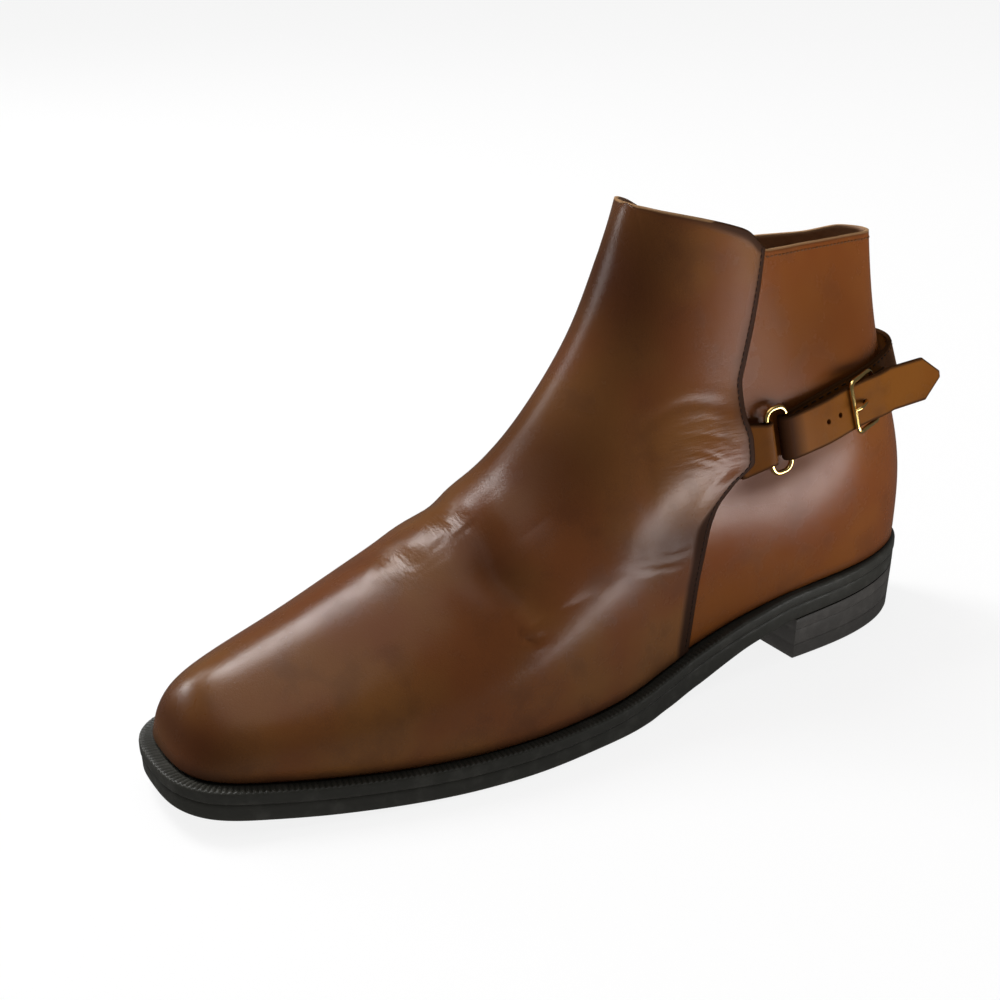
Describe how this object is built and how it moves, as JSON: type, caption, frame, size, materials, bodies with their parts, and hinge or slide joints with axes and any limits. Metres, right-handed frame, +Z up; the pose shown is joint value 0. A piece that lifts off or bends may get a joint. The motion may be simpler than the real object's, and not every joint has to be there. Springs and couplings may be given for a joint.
{
  "type": "monk strap chukka boot",
  "caption": "Left ankle boot in tan calf leather with a plain front panel, an ankle strap that runs through a brass ring to a buckle, a welted sole and a low heel.",
  "frame": {"origin": "centre of the heel's flat underside, on the floor", "axes": "+Z up, toe towards -Y, outer side of the foot towards +X"},
  "size_m": [0.0979, 0.3081, 0.1731],
  "materials": {
    "tan_leather": "polished calf, lighter tan",
    "chestnut_leather": "polished calf, burnished chestnut",
    "black_leather": "blackened and waxed edge",
    "black_rubber": "satin",
    "lining_leather": "plain lining leather",
    "brass": "polished"
  },
  "bodies": {
    "root": {"outsole": "black_leather", "welt": "black_leather", "heel": "black_rubber", "insole": "lining_leather", "upper": "tan_leather", "vamp": "chestnut_leather", "strap": "tan_leather", "ring_tab": "tan_leather", "ring": "brass", "buckle_frame": "brass", "buckle_prong": "brass", "buckle_chape": "tan_leather"}
  },
  "joints": []
}
